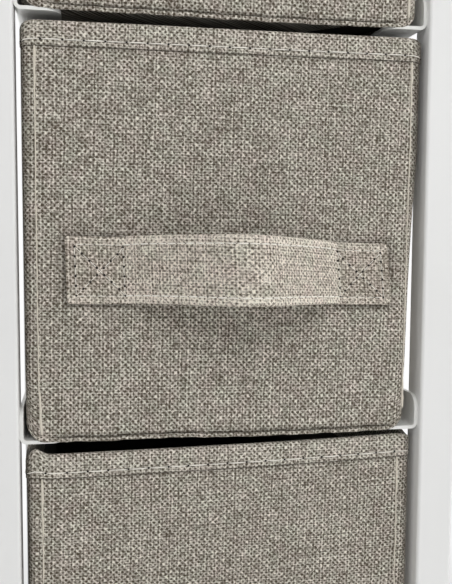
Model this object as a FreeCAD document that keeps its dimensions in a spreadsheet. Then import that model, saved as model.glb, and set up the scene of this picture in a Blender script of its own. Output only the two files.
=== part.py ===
import FreeCAD, Part
import math
import os

import Sketcher

# A slim dresser: a white steel tube frame that carries four cloth drawers on L-shaped runners.
# Millimetres, +Z up, the drawers open towards -Y. The origin is on the floor, in the middle of
# the outline. The left half of the frame is drawn, and the right half is its mirror image.

Vector = FreeCAD.Vector
doc = FreeCAD.newDocument("fabric_drawer_dresser")

LEVELS = ["bottom", "lower", "upper", "top"]

# Driving dimensions: alias, size in millimetres, meaning
DIMENSIONS = [
    ("opening_width", "190", "clear width between the left and right uprights"),
    ("frame_depth", "320", "front of the front uprights to back of the rear ones"),
    ("post_width", "18", "upright, left to right"),
    ("post_depth", "16", "upright, front to back"),
    ("post_wall", "1.2", "wall of the upright's tube"),
    ("post_corner", "1.5", "outer corner radius of the upright's tube"),
    ("rail_height", "16", "height of the side rails and cross bars"),
    ("rail_wall", "1.2", "wall of the rail tube"),
    ("rail_corner", "1.5", "outer corner radius of the rail tube"),
    ("floor_gap", "40", "floor to the underside of the lowest rails"),
    ("foot_height", "8", "foot cap below the end of the upright"),
    ("foot_plug", "18", "foot cap inside the upright"),
    ("foot_play", "0.1", "gap all round the foot cap's plug"),
    ("top_thick", "12", "top board"),
    ("top_round", "1.5", "rounding of the top board's upper edges"),
    ("runner_wall", "1.6", "sheet of the runner"),
    ("runner_height", "16.5", "upright leg of the runner"),
    ("runner_ledge", "20", "ledge of the runner, from the upright inwards"),
    ("runner_bend", "1.5", "inner radius of the runner's bend"),
    ("runner_nose", "6.5", "rounding of the runner's front corners"),
    ("runner_setback", "3.5", "end of the runner inside the faces of the uprights"),
    ("runner_lift", "3", "lowest rail to the lowest runner"),
    ("runner_play", "0.2", "runner's ledge to the drawer's underside"),
    ("stop_height", "16", "stop turned up at the rear end of the ledge"),
    ("stop_gap", "0.3", "stop to the back of a closed drawer"),
    ("drawer_height", "186", "cloth drawer, underside to rim"),
    ("drawer_play", "1.4", "runner's leg to the drawer's sides"),
    ("drawer_recess", "2.8", "drawer's front behind the front of the uprights"),
    ("drawer_headroom", "4", "drawer's rim to what is above it"),
    ("drawer_corner", "5", "rounding of the drawer's upright edges"),
    ("cover_thick", "1.2", "outer cloth"),
    ("hem_drop", "2", "top of the boards and lining below the rim"),
    ("front_board_thick", "3", "stiffener in the drawer's front"),
    ("side_board_thick", "2", "stiffeners in the sides and back"),
    ("lining_thick", "0.8", "inner cloth"),
    ("base_board_thick", "3", "loose board on the drawer's floor"),
    ("base_board_play", "1", "gap round the loose board"),
    ("handle_span", "152", "strap, end to end"),
    ("handle_height", "30", "strap, edge to edge"),
    ("handle_end", "27", "length sewn flat at each end"),
    ("handle_proud", "36", "front of the strap's fold to the drawer's front"),
    ("handle_rise", "75.7", "middle of the strap above the drawer's underside"),
    ("strap_thick", "2.2", "folded strap"),
    ("strap_bend", "9", "inner radius of the strap's bends"),
    ("bolt_diameter", "6", "frame bolt"),
    ("bolt_head_diameter", "10.5", "frame bolt's button head"),
    ("bolt_head_height", "3.3", "frame bolt's button head"),
    ("bolt_socket", "4", "key socket, across its corners"),
    ("bolt_socket_depth", "2", "key socket"),
    ("bolt_bite", "12", "bolt inside the cross bar"),
    ("plug_length", "16", "threaded plug in the end of a cross bar"),
    ("plug_play", "0.1", "gap between the plug and the cross bar"),
    ("rivet_diameter", "3.2", "runner rivet"),
    ("rivet_head_diameter", "6.4", "runner rivet's sunk head"),
    ("rivet_head_height", "0.9", "runner rivet's sunk head"),
    ("rivet_tail_diameter", "4.6", "runner rivet's blind end"),
    ("rivet_tail_length", "2.5", "runner rivet's blind end"),
    ("screw_diameter", "4", "top board screw"),
    ("screw_head_diameter", "8", "top board screw's head"),
    ("screw_head_height", "2.4", "top board screw's head"),
    ("screw_bite", "8", "screw inside the top board"),
    ("screw_inset", "50", "top board screw from the end of its rail"),
    ("hole_play", "0.1", "hole over the diameter of its fastener"),
    ("wall_hole", "5.5", "hole for a wall screw in the rear top cross bar"),
]

dims = doc.addObject("Spreadsheet::Sheet", "dims")
for row, (alias, size, meaning) in enumerate(DIMENSIONS, start=1):
    dims.set(f"A{row}", meaning)
    dims.set(f"B{row}", size)
    dims.setAlias(f"B{row}", alias)
doc.recompute()

# Places that follow from the driving dimensions
FRONT_Y = "((dims.handle_proud - dims.drawer_recess - dims.frame_depth) / 2)"
REAR_Y = f"({FRONT_Y} + dims.frame_depth)"
LEFT_X = "(-dims.opening_width / 2 - dims.post_width)"
INNER_X = "(-dims.opening_width / 2)"
RAIL_LENGTH = "(dims.frame_depth - 2 * dims.post_depth)"
RUNNER_LENGTH = "(dims.frame_depth - 2 * dims.runner_setback)"
RUNNER_PITCH = "(dims.runner_wall + dims.runner_play + dims.drawer_height + dims.drawer_headroom)"
LOW_RAIL_Z = "dims.floor_gap"


def runner_z(level):
    """Underside of the runners at one level, counted from the floor up."""
    return f"(dims.floor_gap + dims.rail_height + dims.runner_lift + {level} * {RUNNER_PITCH})"


HIGH_RAIL_Z = runner_z(len(LEVELS))
POST_TOP_Z = f"({HIGH_RAIL_Z} + dims.rail_height)"
RIVET_RISE = "((dims.runner_height + dims.runner_wall + dims.runner_bend) / 2)"

SHARPEST_BEND = "0.2"
TOUCHING = 0.01
AXES = {"XY_Plane": Vector(0, 0, 1), "XZ_Plane": Vector(0, 1, 0), "YZ_Plane": Vector(1, 0, 0)}
SKETCH_ORIGIN = (-1, 1)
nodes = []


def amount(expression):
    """The number that an expression on the sheet has now."""
    return float(dims.evalExpression(expression))


def keep(thing, label):
    """Names a finished sub-part and puts it on the list of nodes."""
    thing.Label = label
    nodes.append(thing)
    return thing


def place(thing, x, y, z):
    """Binds the position of an object to three expressions."""
    for axis, expression in zip("xyz", (x, y, z)):
        thing.setExpression(f"Placement.Base.{axis}", expression)
    return thing


def mirrored(source, name):
    """The right-hand twin of a left-hand piece."""
    twin = doc.addObject("Part::Mirroring", name)
    twin.Source = source
    twin.Normal = Vector(1, 0, 0)
    return twin


def group(things, label):
    """One node made of several separate solids."""
    bundle = doc.addObject("Part::Compound", label)
    bundle.Links = things
    return keep(bundle, label)


# Sketches whose constraints are bound to the sheet

def bound_constraint(sketch, expression, *arguments):
    """Adds a dimension and ties it to an expression."""
    index = sketch.addConstraint(Sketcher.Constraint(*arguments, amount(expression)))
    sketch.renameConstraint(index, f"size{index}")
    sketch.setExpression(f"Constraints.size{index}", expression)


def locate(sketch, point, x, y):
    """Holds a point at a distance from the sketch's origin; "0" puts it on the axis."""
    for kind, axis_line, expression in (("DistanceX", -2, x), ("DistanceY", -1, y)):
        if expression == "0":
            sketch.addConstraint(Sketcher.Constraint("PointOnObject", *point, axis_line))
        else:
            bound_constraint(sketch, expression, kind, *SKETCH_ORIGIN, *point)


def rectangle(sketch, width, height, left="0", bottom="0"):
    """A rectangle with its lower left corner at (left, bottom)."""
    near = Vector(amount(left), amount(bottom), 0)
    across = Vector(amount(width), 0, 0)
    upward = Vector(0, amount(height), 0)
    corners = [near, near + across, near + across + upward, near + upward]
    sides = []
    for start, end in zip(corners, corners[1:] + corners[:1]):
        sides.append(sketch.addGeometry(Part.LineSegment(start, end), False))
    for side, following in zip(sides, sides[1:] + sides[:1]):
        sketch.addConstraint(Sketcher.Constraint("Coincident", side, 2, following, 1))
    for side, direction in zip(sides, ("Horizontal", "Vertical", "Horizontal", "Vertical")):
        sketch.addConstraint(Sketcher.Constraint(direction, side))
    bound_constraint(sketch, width, "DistanceX", sides[0], 1, sides[0], 2)
    bound_constraint(sketch, height, "DistanceY", sides[1], 1, sides[1], 2)
    locate(sketch, (sides[0], 1), left, bottom)


def circle(sketch, diameter, x, y):
    """A circle with its middle at (x, y)."""
    middle = Vector(amount(x), amount(y), 0)
    ring = sketch.addGeometry(Part.Circle(middle, Vector(0, 0, 1), amount(diameter) / 2), False)
    bound_constraint(sketch, diameter, "Diameter", ring)
    locate(sketch, (ring, 3), x, y)


# Bodies and their features

def new_body(name):
    return doc.addObject("PartDesign::Body", name)


def sketch_on(body, plane, offset):
    """An empty sketch on one of the body's origin planes, moved along the plane's normal."""
    support = [feature for feature in body.Origin.OriginFeatures if feature.Role == plane]
    sketch = body.newObject("Sketcher::SketchObject", "Sketch")
    sketch.AttachmentSupport = [(support[0], "")]
    sketch.MapMode = "FlatFace"
    if offset != "0":
        side = "-" if plane == "XZ_Plane" else ""
        sketch.setExpression("AttachmentOffset.Base.z", f"{side}({offset})")
    return sketch


def grow(body, plane, draw, length, offset="0"):
    """Pads the drawn profile along +X, +Y or +Z, starting at the offset."""
    sketch = sketch_on(body, plane, offset)
    draw(sketch)
    pad = body.newObject("PartDesign::Pad", "Pad")
    pad.Profile = sketch
    pad.Reversed = plane == "XZ_Plane"
    pad.setExpression("Length", length)
    doc.recompute()


def carve(body, plane, draw, depth=None, offset="0"):
    """Cuts the drawn profile along +X, +Y or +Z from the offset, right through if no depth is given."""
    volume_before = body.Shape.Volume
    sketch = sketch_on(body, plane, offset)
    draw(sketch)
    pocket = body.newObject("PartDesign::Pocket", "Pocket")
    pocket.Profile = sketch
    pocket.Reversed = plane != "XZ_Plane"
    if depth:
        pocket.setExpression("Length", depth)
    else:
        pocket.Type = "ThroughAll"
    doc.recompute()
    if body.Shape.Volume >= volume_before:
        raise RuntimeError(f"a pocket in {body.Name} cuts nothing")


def round_edges(body, radius, chosen):
    """Rounds the edges of the body's last feature for which chosen(edge) is true."""
    base = body.Tip
    names = []
    for number, edge in enumerate(base.Shape.Edges, start=1):
        if chosen(edge):
            names.append(f"Edge{number}")
    fillet = body.newObject("PartDesign::Fillet", "Fillet")
    fillet.Base = (base, names)
    fillet.setExpression("Radius", radius)
    doc.recompute()


def runs_along(edge, axis):
    """True for a straight edge parallel to the axis."""
    if edge.Curve.TypeId != "Part::GeomLine":
        return False
    return abs(edge.tangentAt(edge.FirstParameter).dot(axis)) > 0.999


def lies_inside(edge, shape, axis):
    """True for an edge parallel to the axis that is clear of the shape's outer faces."""
    outline = shape.BoundBox
    middle = edge.CenterOfMass
    clear = []
    for name in "XYZ":
        low = getattr(outline, f"{name}Min") + TOUCHING
        high = getattr(outline, f"{name}Max") - TOUCHING
        clear.append(low < getattr(middle, name.lower()) < high)
    return runs_along(edge, axis) and all(clear)


def inner_radius(corner, wall):
    """Inner radius of a bent wall, never quite sharp."""
    return f"max({corner} - {wall}; {SHARPEST_BEND})"


def hollow(name, plane, wide, high, length, wall, corner="0", floor="0"):
    """A rectangular tube along the plane's normal, or with a floor an open box."""
    body = new_body(name)
    axis = AXES[plane]
    bore_wide = f"({wide} - 2 * {wall})"
    bore_high = f"({high} - 2 * {wall})"
    grow(body, plane, lambda sketch: rectangle(sketch, wide, high), length)
    carve(body, plane, lambda sketch: rectangle(sketch, bore_wide, bore_high, wall, wall), offset=floor)
    if corner != "0":
        box = body.Tip.Shape
        round_edges(body, inner_radius(corner, wall), lambda edge: lies_inside(edge, box, axis))
        round_edges(body, corner, lambda edge: runs_along(edge, axis) and not lies_inside(edge, box, axis))
    return body


def panel(label, width, depth, height):
    """A flat board."""
    body = new_body(label)
    grow(body, "XY_Plane", lambda sketch: rectangle(sketch, width, depth), height)
    return keep(body, label)


# Frame: uprights, side rails and cross bars

def bolt_and_rivet_holes(post):
    """Holes across an upright for the frame bolts, and in its inner wall for the runner rivets."""
    middle = "(dims.post_depth / 2)"
    bolt_hole = "(dims.bolt_diameter + dims.hole_play)"
    rivet_hole = "(dims.rivet_diameter + dims.hole_play)"

    def draw_bolt_holes(sketch):
        for rail_z in (LOW_RAIL_Z, HIGH_RAIL_Z):
            circle(sketch, bolt_hole, middle, f"({rail_z} + dims.rail_height / 2 - dims.foot_height)")

    def draw_rivet_holes(sketch):
        for level in range(len(LEVELS)):
            circle(sketch, rivet_hole, middle, f"({runner_z(level)} + {RIVET_RISE} - dims.foot_height)")

    carve(post, "YZ_Plane", draw_bolt_holes)
    inner_wall = "(dims.post_width - dims.post_wall)"
    carve(post, "YZ_Plane", draw_rivet_holes, depth="dims.post_wall", offset=inner_wall)


def frame_posts():
    length = f"({POST_TOP_Z} - dims.foot_height)"
    for end, y in (("front", FRONT_Y), ("rear", f"({REAR_Y} - dims.post_depth)")):
        post = hollow(f"left_{end}_post", "XY_Plane", "dims.post_width", "dims.post_depth", length,
                      "dims.post_wall", "dims.post_corner")
        bolt_and_rivet_holes(post)
        place(post, LEFT_X, y, "dims.foot_height")
        keep(post, f"left_{end}_post")
        keep(mirrored(post, f"right_{end}_post"), f"right_{end}_post")


def side_rails():
    for height, z in (("bottom", LOW_RAIL_Z), ("top", HIGH_RAIL_Z)):
        rail = hollow(f"left_{height}_rail", "XZ_Plane", "dims.post_width", "dims.rail_height", RAIL_LENGTH,
                      "dims.rail_wall", "dims.rail_corner")
        if height == "top":
            drill_for_top_screws(rail)
        place(rail, LEFT_X, f"({FRONT_Y} + dims.post_depth)", z)
        keep(rail, f"left_{height}_rail")
        keep(mirrored(rail, f"right_{height}_rail"), f"right_{height}_rail")


def drill_for_top_screws(rail):
    """Two holes up through a top side rail."""
    hole = "(dims.screw_diameter + dims.hole_play)"

    def draw(sketch):
        for y in ("dims.screw_inset", f"({RAIL_LENGTH} - dims.screw_inset)"):
            circle(sketch, hole, "(dims.post_width / 2)", y)

    carve(rail, "XY_Plane", draw)


def cross_bars():
    for height, z in (("bottom", LOW_RAIL_Z), ("top", HIGH_RAIL_Z)):
        for end, y in (("front", FRONT_Y), ("rear", f"({REAR_Y} - dims.post_depth)")):
            label = f"{end}_{height}_cross_bar"
            bar = hollow(label, "YZ_Plane", "dims.post_depth", "dims.rail_height", "dims.opening_width",
                         "dims.rail_wall", "dims.rail_corner")
            if label == "rear_top_cross_bar":
                drill_for_wall_screw(bar)
            place(bar, INNER_X, y, z)
            keep(bar, label)


def drill_for_wall_screw(bar):
    """One hole in the rear wall of a cross bar, at the middle of its length."""
    def draw(sketch):
        circle(sketch, "dims.wall_hole", "(dims.opening_width / 2)", "(dims.rail_height / 2)")

    carve(bar, "XZ_Plane", draw, depth="dims.rail_wall", offset="(dims.post_depth - dims.rail_wall)")


# Top board and feet

def top_board():
    width = "(dims.opening_width + 2 * dims.post_width)"
    hole = "(dims.screw_diameter + dims.hole_play)"
    board = new_body("top_board")
    grow(board, "XY_Plane", lambda sketch: rectangle(sketch, width, "dims.frame_depth"), "dims.top_thick")
    upper = board.Shape.BoundBox.ZMax
    round_edges(board, "dims.top_round", lambda edge: edge.BoundBox.ZMin > upper - TOUCHING)

    def draw(sketch):
        for x in ("(dims.post_width / 2)", f"({width} - dims.post_width / 2)"):
            for y in ("dims.screw_inset", f"({RAIL_LENGTH} - dims.screw_inset)"):
                circle(sketch, hole, x, f"(dims.post_depth + {y})")

    carve(board, "XY_Plane", draw, depth="(dims.screw_bite + dims.hole_play)")
    place(board, LEFT_X, FRONT_Y, POST_TOP_Z)
    keep(board, "top_board")


def foot_caps():
    inset = "(dims.post_wall + dims.foot_play)"
    plug_wide = f"(dims.post_width - 2 * {inset})"
    plug_deep = f"(dims.post_depth - 2 * {inset})"
    upward = AXES["XY_Plane"]
    feet = []
    for end, y in (("front", FRONT_Y), ("rear", f"({REAR_Y} - dims.post_depth)")):
        foot = new_body(f"left_{end}_foot")
        grow(foot, "XY_Plane", lambda sketch: rectangle(sketch, "dims.post_width", "dims.post_depth"),
             "dims.foot_height")
        round_edges(foot, "dims.post_corner", lambda edge: runs_along(edge, upward))
        grow(foot, "XY_Plane", lambda sketch: rectangle(sketch, plug_wide, plug_deep, inset, inset),
             "dims.foot_plug", offset="dims.foot_height")
        shape = foot.Tip.Shape
        round_edges(foot, inner_radius("dims.post_corner", "dims.post_wall"),
                    lambda edge: lies_inside(edge, shape, upward))
        place(foot, LEFT_X, y, "0")
        feet += [foot, mirrored(foot, f"right_{end}_foot")]
    group(feet, "foot_caps")


# Runners

def draw_runner_section(sketch):
    """An L of bent sheet: leg up at the left, ledge to the right, with a round bend."""
    wall, bend = amount("dims.runner_wall"), amount("dims.runner_bend")
    high, wide = amount("dims.runner_height"), amount("dims.runner_ledge")
    outer = wall + bend
    centre = Vector(outer, outer, 0)

    def quarter_turn(radius):
        """The lower left quarter of a circle about the bend's centre."""
        return Part.ArcOfCircle(Part.Circle(centre, Vector(0, 0, 1), radius), math.pi, 1.5 * math.pi)

    top_left, top_right = Vector(0, high, 0), Vector(wall, high, 0)
    tip_low, tip_high = Vector(wide, 0, 0), Vector(wide, wall, 0)
    leg_back = sketch.addGeometry(Part.LineSegment(top_left, Vector(0, outer, 0)), False)
    outer_bend = sketch.addGeometry(quarter_turn(outer), False)
    underside = sketch.addGeometry(Part.LineSegment(Vector(outer, 0, 0), tip_low), False)
    tip = sketch.addGeometry(Part.LineSegment(tip_low, tip_high), False)
    ledge = sketch.addGeometry(Part.LineSegment(tip_high, Vector(outer, wall, 0)), False)
    inner_bend = sketch.addGeometry(quarter_turn(bend), False)
    leg_face = sketch.addGeometry(Part.LineSegment(Vector(wall, outer, 0), top_right), False)
    leg_top = sketch.addGeometry(Part.LineSegment(top_right, top_left), False)
    for first, first_end, second, second_end in (
        (leg_back, 2, outer_bend, 1), (outer_bend, 2, underside, 1), (ledge, 2, inner_bend, 2),
        (inner_bend, 1, leg_face, 1),
    ):
        sketch.addConstraint(Sketcher.Constraint("Tangent", first, first_end, second, second_end))
    for first, second in ((underside, tip), (tip, ledge), (leg_face, leg_top), (leg_top, leg_back)):
        sketch.addConstraint(Sketcher.Constraint("Coincident", first, 2, second, 1))
    for line, direction in (
        (leg_back, "Vertical"), (underside, "Horizontal"), (tip, "Vertical"), (ledge, "Horizontal"),
        (leg_face, "Vertical"), (leg_top, "Horizontal"),
    ):
        sketch.addConstraint(Sketcher.Constraint(direction, line))
    sketch.addConstraint(Sketcher.Constraint("Coincident", outer_bend, 3, inner_bend, 3))
    bound_constraint(sketch, "dims.runner_bend", "Radius", inner_bend)
    bound_constraint(sketch, "dims.runner_wall", "DistanceY", tip, 1, tip, 2)
    locate(sketch, (leg_back, 1), "0", "dims.runner_height")
    locate(sketch, (underside, 2), "dims.runner_ledge", "0")


def runners():
    middle = "(dims.post_depth / 2 - dims.runner_setback)"
    rivet_hole = "(dims.rivet_diameter + dims.hole_play)"
    rivet_seat = "(dims.rivet_head_diameter + dims.hole_play)"
    for level, name in enumerate(LEVELS):
        runner = new_body(f"{name}_left_runner")
        grow(runner, "XZ_Plane", draw_runner_section, RUNNER_LENGTH)
        high, wide = amount("dims.runner_height"), amount("dims.runner_ledge")

        def is_nose(edge):
            point = edge.CenterOfMass
            top_of_leg = runs_along(edge, Vector(1, 0, 0)) and abs(point.z - high) < TOUCHING
            tip_of_ledge = runs_along(edge, Vector(0, 0, 1)) and abs(point.x - wide) < TOUCHING
            return abs(point.y) < TOUCHING and (top_of_leg or tip_of_ledge)

        def draw_holes(sketch, diameter):
            for y in (middle, f"({RUNNER_LENGTH} - {middle})"):
                circle(sketch, diameter, y, RIVET_RISE)

        round_edges(runner, "dims.runner_nose", is_nose)
        grow(runner, "XZ_Plane", lambda sketch: rectangle(sketch, "dims.runner_ledge", "dims.stop_height"),
             "dims.runner_wall", offset=f"({RUNNER_LENGTH} - dims.runner_wall)")
        carve(runner, "YZ_Plane", lambda sketch: draw_holes(sketch, rivet_hole), depth="dims.runner_wall")
        carve(runner, "YZ_Plane", lambda sketch: draw_holes(sketch, rivet_seat),
              depth="dims.rivet_head_height", offset="(dims.runner_wall - dims.rivet_head_height)")
        place(runner, INNER_X, f"({FRONT_Y} + dims.runner_setback)", runner_z(level))
        keep(runner, f"{name}_left_runner")
        keep(mirrored(runner, f"{name}_right_runner"), f"{name}_right_runner")


# Fasteners

def rod(diameter, start, length):
    """A cylinder along Z."""
    piece = doc.addObject("Part::Cylinder", "Rod")
    piece.setExpression("Radius", f"{diameter} / 2")
    piece.setExpression("Height", length)
    return place(piece, "0", "0", start)


def joined(pieces):
    solid = doc.addObject("Part::MultiFuse", "Joined")
    solid.Shapes = pieces
    return solid


def drilled(base, tool):
    solid = doc.addObject("Part::Cut", "Drilled")
    solid.Base = base
    solid.Tool = tool
    return solid


def turned(thing, angle):
    """Turns a fastener about Y, from standing on Z to lying on X."""
    thing.Placement = FreeCAD.Placement(Vector(0, 0, 0), FreeCAD.Rotation(Vector(0, 1, 0), angle))
    return thing


def post_middles():
    return [f"({FRONT_Y} + dims.post_depth / 2)", f"({REAR_Y} - dims.post_depth / 2)"]


def frame_bolts():
    bolts = []
    plugs = []
    bore = "(min(dims.post_depth; dims.rail_height) - 2 * dims.rail_wall - 2 * dims.plug_play)"
    hole = "(dims.bolt_diameter + dims.hole_play)"
    for z in (LOW_RAIL_Z, HIGH_RAIL_Z):
        for y in post_middles():
            head = rod("dims.bolt_head_diameter", "-dims.bolt_head_height", "dims.bolt_head_height")
            shank = rod("dims.bolt_diameter", "0", "(dims.post_width + dims.bolt_bite)")
            socket = doc.addObject("Part::Prism", "Socket")
            socket.Polygon = 6
            socket.setExpression("Circumradius", "dims.bolt_socket / 2")
            socket.setExpression("Height", "dims.bolt_socket_depth")
            place(socket, "0", "0", "-dims.bolt_head_height")
            bolt = turned(drilled(joined([head, shank]), socket), 90)
            place(bolt, LEFT_X, y, f"({z} + dims.rail_height / 2)")
            bolts += [bolt, mirrored(bolt, "Bolt")]
            plug = turned(drilled(rod(bore, "0", "dims.plug_length"), rod(hole, "0", "dims.plug_length")), 90)
            place(plug, INNER_X, y, f"({z} + dims.rail_height / 2)")
            plugs += [plug, mirrored(plug, "Plug")]
    group(bolts, "frame_bolts")
    group(plugs, "threaded_plugs")


def runner_rivets():
    rivets = []
    grip = "(dims.runner_wall + dims.post_wall)"
    for level in range(len(LEVELS)):
        for y in post_middles():
            head = rod("dims.rivet_head_diameter", "0", "dims.rivet_head_height")
            shank = rod("dims.rivet_diameter", "0", grip)
            tail = rod("dims.rivet_tail_diameter", grip, "dims.rivet_tail_length")
            rivet = turned(joined([head, shank, tail]), -90)
            place(rivet, f"({INNER_X} + dims.runner_wall)", y, f"({runner_z(level)} + {RIVET_RISE})")
            rivets += [rivet, mirrored(rivet, "Rivet")]
    group(rivets, "runner_rivets")


def top_screws():
    screws = []
    for y in ("dims.screw_inset", f"({RAIL_LENGTH} - dims.screw_inset)"):
        head = rod("dims.screw_head_diameter", "-dims.screw_head_height", "dims.screw_head_height")
        shank = rod("dims.screw_diameter", "0", "(dims.rail_height + dims.screw_bite)")
        screw = joined([head, shank])
        place(screw, f"({LEFT_X} + dims.post_width / 2)", f"({FRONT_Y} + dims.post_depth + {y})", HIGH_RAIL_Z)
        screws += [screw, mirrored(screw, "Screw")]
    group(screws, "top_board_screws")


# Drawers

DRAWER_WIDTH = "(dims.opening_width - 2 * (dims.runner_wall + dims.drawer_play))"
DRAWER_FRONT_Y = f"({FRONT_Y} + dims.drawer_recess)"
STOP_DEPTH = "(dims.runner_setback + dims.runner_wall + dims.stop_gap)"
DRAWER_DEPTH = f"(dims.frame_depth - dims.drawer_recess - {STOP_DEPTH})"
INNER_WIDTH = f"({DRAWER_WIDTH} - 2 * dims.cover_thick)"
INNER_DEPTH = f"({DRAWER_DEPTH} - 2 * dims.cover_thick)"
INNER_CORNER = inner_radius("dims.drawer_corner", "dims.cover_thick")
BOARD_HEIGHT = "(dims.drawer_height - dims.cover_thick - dims.hem_drop)"
LINING_WIDTH = f"({INNER_WIDTH} - 2 * dims.side_board_thick)"
LINING_DEPTH = f"({INNER_DEPTH} - dims.front_board_thick - dims.side_board_thick)"


# The strap's flanks would meet at this peak, which its middle bend rounds down to the proud height
STRAP_GAP = "(dims.handle_span / 2 - dims.handle_end)"
STRAP_LOW = "(dims.handle_proud - dims.strap_bend - dims.strap_thick)"
STRAP_LEAN = f"(1 - (dims.strap_bend / {STRAP_GAP}) ^ 2)"
STRAP_ROOT = f"sqrt({STRAP_LOW} ^ 2 - {STRAP_LEAN} * ({STRAP_LOW} ^ 2 - dims.strap_bend ^ 2))"
STRAP_PEAK = f"(({STRAP_LOW} + {STRAP_ROOT}) / {STRAP_LEAN})"


def draw_strap(sketch):
    """The strap from above: flat at both ends, with two flanks that meet in the middle."""
    span, end, thick = amount("dims.handle_span"), amount("dims.handle_end"), amount("dims.strap_thick")
    peak = amount(STRAP_PEAK)
    slope = math.atan2(peak, amount(STRAP_GAP))
    mitre = thick * math.tan(slope / 2)
    corners = [
        (0, 0), (end, 0), (span / 2, peak), (span - end, 0), (span, 0),
        (span, thick), (span - end + mitre, thick), (span / 2, peak + thick / math.cos(slope)),
        (end - mitre, thick), (0, thick),
    ]
    lines = []
    for start, stop in zip(corners, corners[1:] + corners[:1]):
        lines.append(sketch.addGeometry(Part.LineSegment(Vector(*start, 0), Vector(*stop, 0)), False))
    for line, following in zip(lines, lines[1:] + lines[:1]):
        sketch.addConstraint(Sketcher.Constraint("Coincident", line, 2, following, 1))
    back_left, left_flank, right_flank, back_right, right_edge = lines[:5]
    front_right, right_face, left_face, front_left, left_edge = lines[5:]
    for line in (back_left, back_right, front_right, front_left):
        sketch.addConstraint(Sketcher.Constraint("Horizontal", line))
    for line in (left_edge, right_edge):
        sketch.addConstraint(Sketcher.Constraint("Vertical", line))
    sketch.addConstraint(Sketcher.Constraint("Parallel", left_flank, left_face))
    sketch.addConstraint(Sketcher.Constraint("Parallel", right_flank, right_face))
    locate(sketch, (back_left, 1), "0", "0")
    locate(sketch, (back_right, 2), "dims.handle_span", "0")
    locate(sketch, (left_flank, 2), "dims.handle_span / 2", STRAP_PEAK)
    bound_constraint(sketch, "dims.handle_end", "DistanceX", back_left, 1, back_left, 2)
    bound_constraint(sketch, "dims.handle_end", "DistanceX", back_right, 1, back_right, 2)
    bound_constraint(sketch, "dims.strap_thick", "DistanceY", right_edge, 1, right_edge, 2)
    bound_constraint(sketch, "dims.strap_thick", "DistanceY", left_edge, 2, left_edge, 1)
    bound_constraint(sketch, "dims.strap_thick", "Distance", left_face, 2, left_flank)
    bound_constraint(sketch, "dims.strap_thick", "Distance", right_face, 1, right_flank)


def strap_body(label):
    """A strap that stands on its lower edge, with its bends rounded."""
    strap = new_body(label)
    grow(strap, "XY_Plane", draw_strap, "dims.handle_height")
    span, peak = amount("dims.handle_span"), amount(STRAP_PEAK)

    def is_bend(edge, inner):
        """True for an edge on the inner, or else the outer, side of one of the three bends."""
        point = edge.CenterOfMass
        at_end = min(point.x, span - point.x) < TOUCHING
        in_middle = abs(point.x - span / 2) < TOUCHING
        on_back = min(abs(point.y), abs(point.y - peak)) < TOUCHING
        upright = runs_along(edge, AXES["XY_Plane"])
        return upright and not at_end and (in_middle == on_back) == inner

    round_edges(strap, "dims.strap_bend", lambda edge: is_bend(edge, True))
    round_edges(strap, "(dims.strap_bend + dims.strap_thick)", lambda edge: is_bend(edge, False))
    return strap


def drawer_boards(name, floor_z):
    """Stiffeners between the outer cloth and the lining."""
    face_width = f"({INNER_WIDTH} - 2 * {INNER_CORNER})"
    front_clear = f"max({INNER_CORNER}; dims.front_board_thick)"
    rear_clear = f"max({INNER_CORNER}; dims.side_board_thick)"
    side_length = f"({INNER_DEPTH} - {front_clear} - {rear_clear})"
    inner_front = f"({DRAWER_FRONT_Y} + dims.cover_thick)"
    inner_left = f"(-{INNER_WIDTH} / 2)"
    front = panel(f"{name}_drawer_front_board", face_width, "dims.front_board_thick", BOARD_HEIGHT)
    place(front, f"-{face_width} / 2", inner_front, floor_z)
    back = panel(f"{name}_drawer_back_board", face_width, "dims.side_board_thick", BOARD_HEIGHT)
    place(back, f"-{face_width} / 2", f"({inner_front} + {INNER_DEPTH} - dims.side_board_thick)", floor_z)
    left = panel(f"{name}_drawer_left_board", "dims.side_board_thick", side_length, BOARD_HEIGHT)
    place(left, inner_left, f"({inner_front} + {front_clear})", floor_z)
    right = mirrored(left, f"{name}_drawer_right_board")
    keep(right, f"{name}_drawer_right_board")


def drawer(level, name):
    underside = f"({runner_z(level)} + dims.runner_wall + dims.runner_play)"
    floor_z = f"({underside} + dims.cover_thick)"
    lining_front = f"({DRAWER_FRONT_Y} + dims.cover_thick + dims.front_board_thick)"
    cover = hollow(f"{name}_drawer_cover", "XY_Plane", DRAWER_WIDTH, DRAWER_DEPTH, "dims.drawer_height",
                   "dims.cover_thick", "dims.drawer_corner", floor="dims.cover_thick")
    place(cover, f"-{DRAWER_WIDTH} / 2", DRAWER_FRONT_Y, underside)
    keep(cover, f"{name}_drawer_cover")
    drawer_boards(name, floor_z)
    lining = hollow(f"{name}_drawer_lining", "XY_Plane", LINING_WIDTH, LINING_DEPTH, BOARD_HEIGHT,
                    "dims.lining_thick", floor="dims.lining_thick")
    place(lining, f"-{LINING_WIDTH} / 2", lining_front, floor_z)
    keep(lining, f"{name}_drawer_lining")
    around = "(dims.lining_thick + dims.base_board_play)"
    base_width = f"({LINING_WIDTH} - 2 * {around})"
    base_depth = f"({LINING_DEPTH} - 2 * {around})"
    base = panel(f"{name}_drawer_base_board", base_width, base_depth, "dims.base_board_thick")
    place(base, f"-{base_width} / 2", f"({lining_front} + {around})", f"({floor_z} + dims.lining_thick)")
    strap = strap_body(f"{name}_drawer_handle")
    strap.Placement = FreeCAD.Placement(Vector(0, 0, 0), FreeCAD.Rotation(Vector(0, 0, 1), 180))
    strap_z = f"({underside} + dims.handle_rise - dims.handle_height / 2)"
    place(strap, "dims.handle_span / 2", DRAWER_FRONT_Y, strap_z)
    keep(strap, f"{name}_drawer_handle")


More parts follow.
